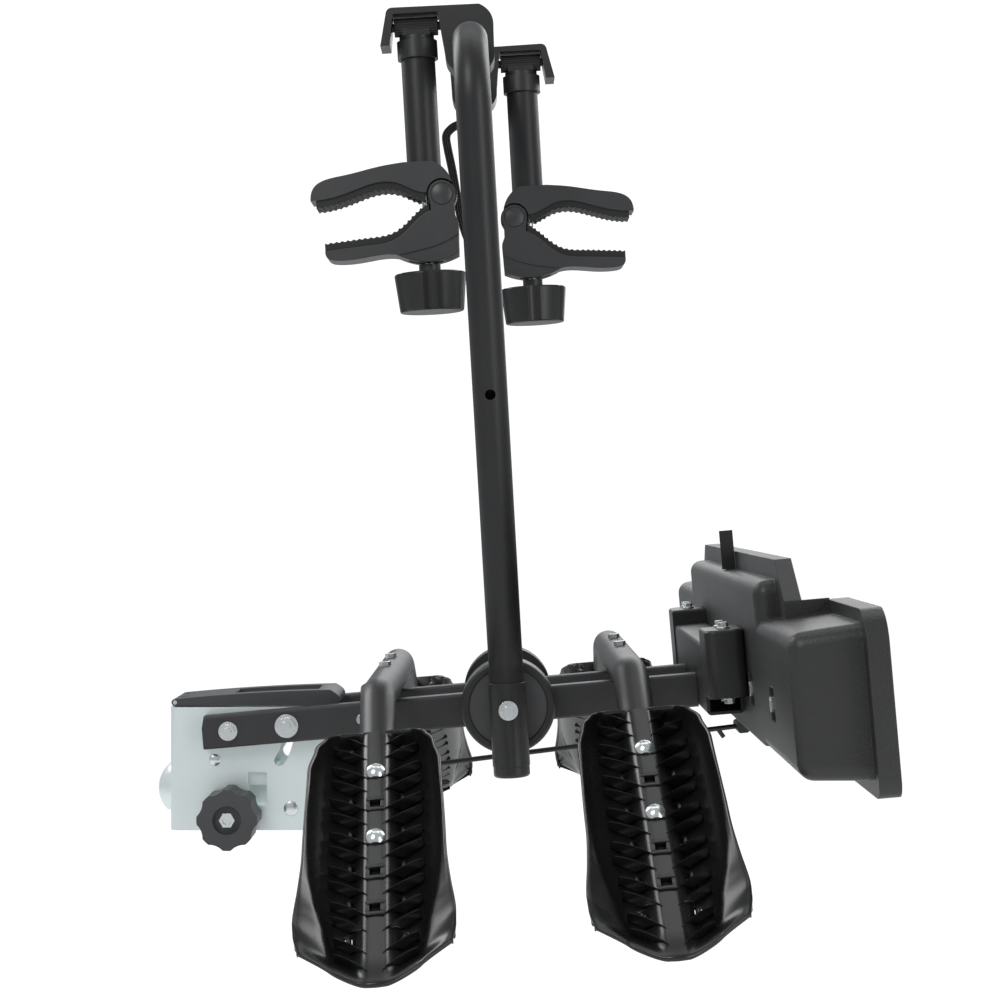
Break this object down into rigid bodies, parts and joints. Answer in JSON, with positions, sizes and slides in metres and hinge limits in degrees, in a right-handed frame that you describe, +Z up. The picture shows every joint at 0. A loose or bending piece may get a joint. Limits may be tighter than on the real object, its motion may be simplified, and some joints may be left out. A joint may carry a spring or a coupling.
{
  "type": "tow ball bike carrier",
  "caption": "Tow-ball platform carrier for bicycles: clamping coupler, tilting beams, fold-down hoop with frame clamps, scoop wheel trays and a rear lamp board.",
  "frame": {"origin": "centre of the tow ball in the coupler's cup", "axes": "+X to the rear of the car, +Y across the car, +Z up"},
  "size_m": [0.6348, 1.04, 0.8372],
  "materials": {
    "zinc_plate": "bright zinc plate, satin",
    "zinc_bolts": "bright zinc",
    "beam_paint": "charcoal satin powder coat",
    "black_powder": "black satin powder coat",
    "pad_rubber": "matte black rubber",
    "tray_plastic": "black moulded plastic, satin gloss",
    "grained_plastic": "black plastic with a fine leather grain",
    "lamp_red": "clear red lens",
    "grey_plastic": "dark grey moulded plastic, matte",
    "jaw_plastic": "dark grey moulded plastic, satin",
    "black_plastic": "black moulded plastic, satin"
  },
  "bodies": {
    "coupler": {"coupler_shell": "zinc_plate", "ball_cup": "zinc_plate", "shell_rivets": "zinc_bolts", "pivot_bolt": "zinc_bolts", "lever_pin": "zinc_bolts", "knob_stud": "zinc_bolts"},
    "lever": {"release_lever": "grey_plastic"},
    "ball_jaw": {"ball_jaw": "zinc_plate"},
    "lock_knob": {"coupler_knob": "grey_plastic", "knob_nut": "zinc_bolts"},
    "platform": {"beam_near": "beam_paint", "beam_far": "beam_paint", "frame_cross_bolts": "zinc_bolts", "arm_front": "black_powder", "arm_rear": "black_powder", "arm_bolts": "zinc_bolts", "tray_front_near": "tray_plastic", "tray_front_far": "tray_plastic", "tray_rear_near": "tray_plastic", "tray_rear_far": "tray_plastic", "tray_bolts": "zinc_bolts", "hub_drums": "black_plastic", "hub_discs": "grey_plastic", "fold_axle": "zinc_bolts", "rear_crossbar": "black_powder", "crossbar_ends": "black_plastic", "crossbar_bolts": "zinc_bolts", "lamp_board": "grained_plastic", "lamp_units": "lamp_red", "board_bolts": "zinc_bolts", "plate_tab": "black_powder"},
    "release_rod": {"release_rod": "black_powder", "release_pedal": "black_plastic"},
    "tilt_hook": {"tilt_hook": "black_powder"},
    "hoop": {"hoop_tube": "black_powder", "leg_caps": "black_plastic", "leg_saddles": "black_plastic", "keeper_loop": "pad_rubber"},
    "near_bracket": {"bracket_near": "black_plastic"},
    "near_arm": {"swivel_near": "black_plastic", "post_near": "black_powder", "top_jaw_near": "jaw_plastic", "top_pad_near": "pad_rubber", "pivot_pin_near": "jaw_plastic", "clamp_screw_near": "zinc_bolts"},
    "near_lower_jaw": {"bottom_jaw_near": "jaw_plastic", "bottom_pad_near": "pad_rubber"},
    "near_collar": {"thrust_collar_near": "jaw_plastic"},
    "near_knob": {"clamp_knob_near": "black_plastic"},
    "far_bracket": {"bracket_far": "black_plastic"},
    "far_arm": {"swivel_far": "black_plastic", "post_far": "black_powder", "top_jaw_far": "jaw_plastic", "top_pad_far": "pad_rubber", "pivot_pin_far": "jaw_plastic", "clamp_screw_far": "zinc_bolts"},
    "far_lower_jaw": {"bottom_jaw_far": "jaw_plastic", "bottom_pad_far": "pad_rubber"},
    "far_collar": {"thrust_collar_far": "jaw_plastic"},
    "far_knob": {"clamp_knob_far": "black_plastic"}
  },
  "joints": [
    {"name": "lever_lift", "type": "hinge", "parent": "coupler", "child": "lever", "pos_m": [-0.01, 0, 0.0866], "axis": [0, 1, 0], "range_deg": [-75, 0]},
    {"name": "jaw_slide", "type": "slide", "parent": "coupler", "child": "ball_jaw", "axis": [1, 0, 0], "range_m": [0, 0.0143]},
    {"name": "lock_knob_turn", "type": "hinge", "parent": "coupler", "child": "lock_knob", "pos_m": [0.0467, -0.06, -0.0198], "axis": [0, -1, 0], "continuous": true},
    {"name": "platform_tilt", "type": "hinge", "parent": "coupler", "child": "platform", "pos_m": [0.0448, 0, 0.0618], "axis": [0, 1, 0], "range_deg": [0, 38]},
    {"name": "release_pull", "type": "slide", "parent": "platform", "child": "release_rod", "axis": [0.9962, 0, 0.0872], "range_m": [0, 0.0075], "stiffness_N_per_m": 300, "springref_m": -0.004},
    {"name": "tilt_hook_swing", "type": "hinge", "parent": "platform", "child": "tilt_hook", "pos_m": [0.17231, 0, 0.07296], "axis": [0, 1, 0], "range_deg": [-7.6, 0]},
    {"name": "hoop_fold", "type": "hinge", "parent": "platform", "child": "hoop", "pos_m": [0.31207, 0, 0.0887], "axis": [0, 1, 0], "range_deg": [-58, 0]},
    {"name": "near_clamp_turn", "type": "hinge", "parent": "hoop", "child": "near_bracket", "pos_m": [0.27709, -0.095, 0.701], "axis": [0, 1, 0], "range_deg": [-20, 110]},
    {"name": "near_clamp_swing", "type": "hinge", "parent": "near_bracket", "child": "near_arm", "pos_m": [0.22551, -0.095, 0.7273], "axis": [0.9984, 0, 0.057], "range_deg": [-8, 10]},
    {"name": "near_jaw_open", "type": "hinge", "parent": "near_arm", "child": "near_lower_jaw", "pos_m": [0.25002, -0.095, 0.56814], "axis": [0, 1, 0], "range_deg": [-12, 8]},
    {"name": "near_collar_travel", "type": "slide", "parent": "near_arm", "child": "near_collar", "axis": [0.057, 0, -0.9984], "range_m": [-0.0025, 0.0036]},
    {"name": "near_knob_turn", "type": "hinge", "parent": "near_collar", "child": "near_knob", "pos_m": [0.23972, -0.095, 0.4785], "axis": [-0.057, 0, 0.9984], "continuous": true},
    {"name": "far_clamp_turn", "type": "hinge", "parent": "hoop", "child": "far_bracket", "pos_m": [0.27709, 0.1, 0.701], "axis": [0, 1, 0], "range_deg": [-110, 20]},
    {"name": "far_clamp_swing", "type": "hinge", "parent": "far_bracket", "child": "far_arm", "pos_m": [0.32534, 0.1, 0.733], "axis": [0.9984, 0, 0.057], "range_deg": [-10, 4]},
    {"name": "far_jaw_open", "type": "hinge", "parent": "far_arm", "child": "far_lower_jaw", "pos_m": [0.31911, 0.1, 0.57208], "axis": [0, 1, 0], "range_deg": [-8, 12]},
    {"name": "far_collar_travel", "type": "slide", "parent": "far_arm", "child": "far_collar", "axis": [0.057, 0, -0.9984], "range_m": [-0.0025, 0.0036]},
    {"name": "far_knob_turn", "type": "hinge", "parent": "far_collar", "child": "far_knob", "pos_m": [0.33956, 0.1, 0.48421], "axis": [-0.057, 0, 0.9984], "continuous": true}
  ],
  "couplings": [
    {"joint": "jaw_slide", "follows": "lever_lift", "m_per_rad": -0.0108},
    {"joint": "tilt_hook_swing", "follows": "release_pull", "rad_per_m": -17.1},
    {"joint": "near_collar_travel", "follows": "near_jaw_open", "m_per_rad": -0.016},
    {"joint": "far_collar_travel", "follows": "far_jaw_open", "m_per_rad": 0.016}
  ]
}
